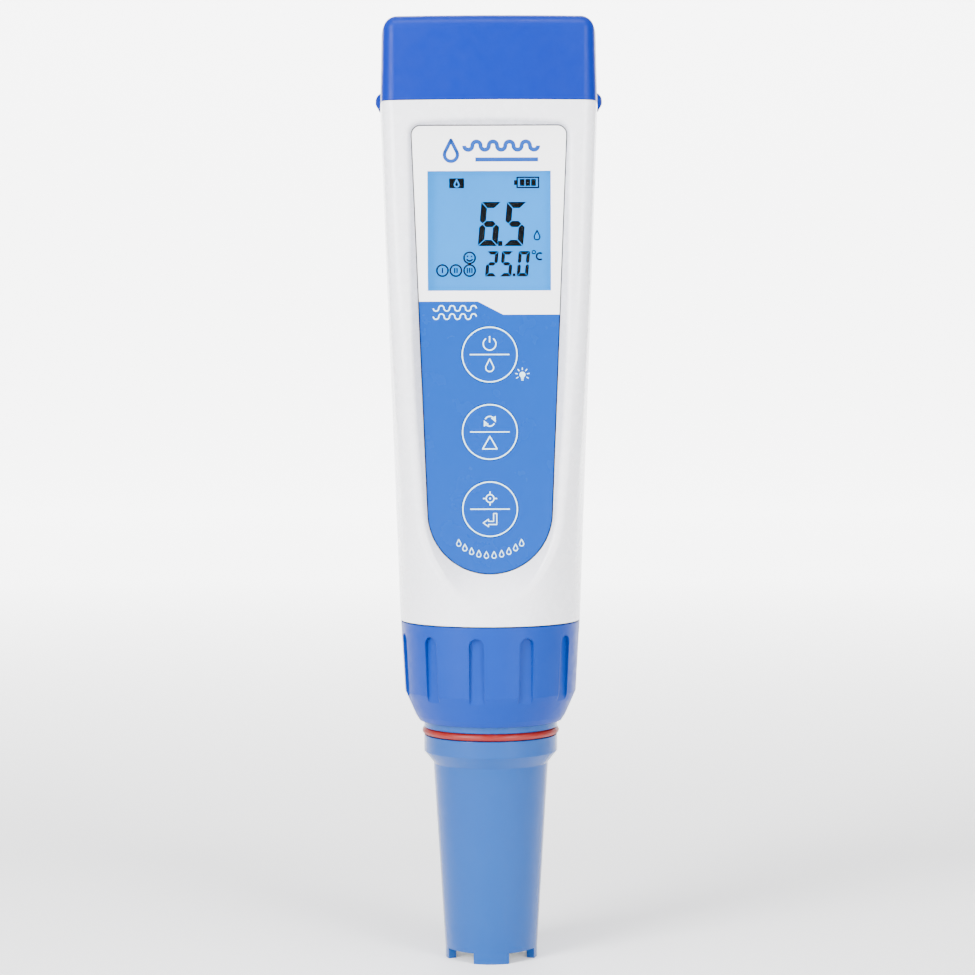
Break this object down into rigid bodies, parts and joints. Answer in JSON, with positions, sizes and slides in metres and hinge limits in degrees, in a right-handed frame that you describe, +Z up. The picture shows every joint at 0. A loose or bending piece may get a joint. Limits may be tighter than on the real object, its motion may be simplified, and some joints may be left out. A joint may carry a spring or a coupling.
{
  "type": "ph test pen",
  "caption": "Tapered handheld pH test pen with a lit display, press keys, a pull-off battery cap, a fluted locking collar and a replaceable flat-tip probe.",
  "frame": {"origin": "centre of the probe's tip, on the plane of the four tab ends", "axes": "+Z up along the pen to the battery cap, the label and display face -Y, +X to the right seen from the front"},
  "size_m": [0.0426, 0.0368, 0.174],
  "materials": {
    "white_plastic": "semi-gloss",
    "label": "smooth film",
    "key_cap": "smooth film",
    "window": "clear",
    "blue_plastic": "fine texture",
    "collar_plastic": "fine texture",
    "probe_plastic": "smooth",
    "red_rubber": "satin",
    "black_rubber": "satin",
    "display_glass": "clear",
    "light_guide": "translucent",
    "inner_plastic": "plain",
    "contact_rubber": "layered",
    "board": "solder mask",
    "chip": "plain",
    "steel": "plain",
    "gold": "plated",
    "cell": "sleeve",
    "bulb_glass": "clear",
    "junction": "porous",
    "epoxy": "cast",
    "silver": "wire"
  },
  "bodies": {
    "housing": {"housing_shell": "white_plastic", "front_panel": "label", "panel_seal": "black_rubber", "display_window": "window", "lcd_glass": "display_glass", "lcd_backlight": "light_guide", "lcd_frame": "inner_plastic", "zebra_strips": "contact_rubber", "main_board": "board", "board_chips": "chip", "tact_switches": "chip", "board_screws": "steel", "battery_holder": "inner_plastic", "battery_springs": "steel", "battery_1": "cell", "battery_2": "cell", "battery_3": "cell", "battery_4": "cell", "probe_socket": "inner_plastic", "socket_contacts": "gold", "hinge_pin": "steel", "cap_seal": "black_rubber"},
    "battery_cap": {"battery_cap": "blue_plastic"},
    "battery_door": {"battery_door": "inner_plastic", "door_contacts": "steel"},
    "key_measure": {"key_measure": "key_cap"},
    "key_mode": {"key_mode": "key_cap"},
    "key_calibrate": {"key_calibrate": "key_cap"},
    "probe": {"probe_barrel": "probe_plastic", "probe_o_ring": "red_rubber", "plug_body": "probe_plastic", "plug_o_ring": "black_rubber", "plug_pins": "gold", "probe_board": "board", "glass_membrane": "bulb_glass", "reference_junction": "junction", "temperature_sensor": "steel", "silver_wire": "silver", "potting_plug": "epoxy"},
    "slip_washer": {"slip_washer": "junction"},
    "collar": {"collar": "collar_plastic"}
  },
  "joints": [
    {"name": "cap_pull", "type": "slide", "parent": "housing", "child": "battery_cap", "axis": [0, 0, 1], "range_m": [0, 0.06]},
    {"name": "door_swing", "type": "hinge", "parent": "housing", "child": "battery_door", "pos_m": [0, 0.0134, 0.167], "axis": [-1, 0, 0], "range_deg": [0, 100]},
    {"name": "probe_pull", "type": "slide", "parent": "housing", "child": "probe", "axis": [0, 0, -1], "range_m": [0, 0.05]},
    {"name": "collar_travel", "type": "slide", "parent": "probe", "child": "slip_washer", "axis": [0, 0, -1], "range_m": [0, 0.01]},
    {"name": "collar_turn", "type": "hinge", "parent": "slip_washer", "child": "collar", "pos_m": [0, 0, 0.055], "axis": [0, 0, -1], "range_deg": [0, 720]},
    {"name": "press_measure", "type": "slide", "parent": "housing", "child": "key_measure", "axis": [0, 0.9988, 0.0489], "range_m": [0, 0.00035], "stiffness_N_per_m": 1500, "springref_m": -0.0001},
    {"name": "press_mode", "type": "slide", "parent": "housing", "child": "key_mode", "axis": [0, 0.9988, 0.0489], "range_m": [0, 0.00035], "stiffness_N_per_m": 1500, "springref_m": -0.0001},
    {"name": "press_calibrate", "type": "slide", "parent": "housing", "child": "key_calibrate", "axis": [0, 0.9988, 0.0489], "range_m": [0, 0.00035], "stiffness_N_per_m": 1500, "springref_m": -0.0001}
  ],
  "couplings": [
    {"joint": "door_swing", "follows": "cap_pull", "rad_per_m": 29.06},
    {"joint": "collar_travel", "follows": "collar_turn", "m_per_rad": 0.00079498}
  ]
}
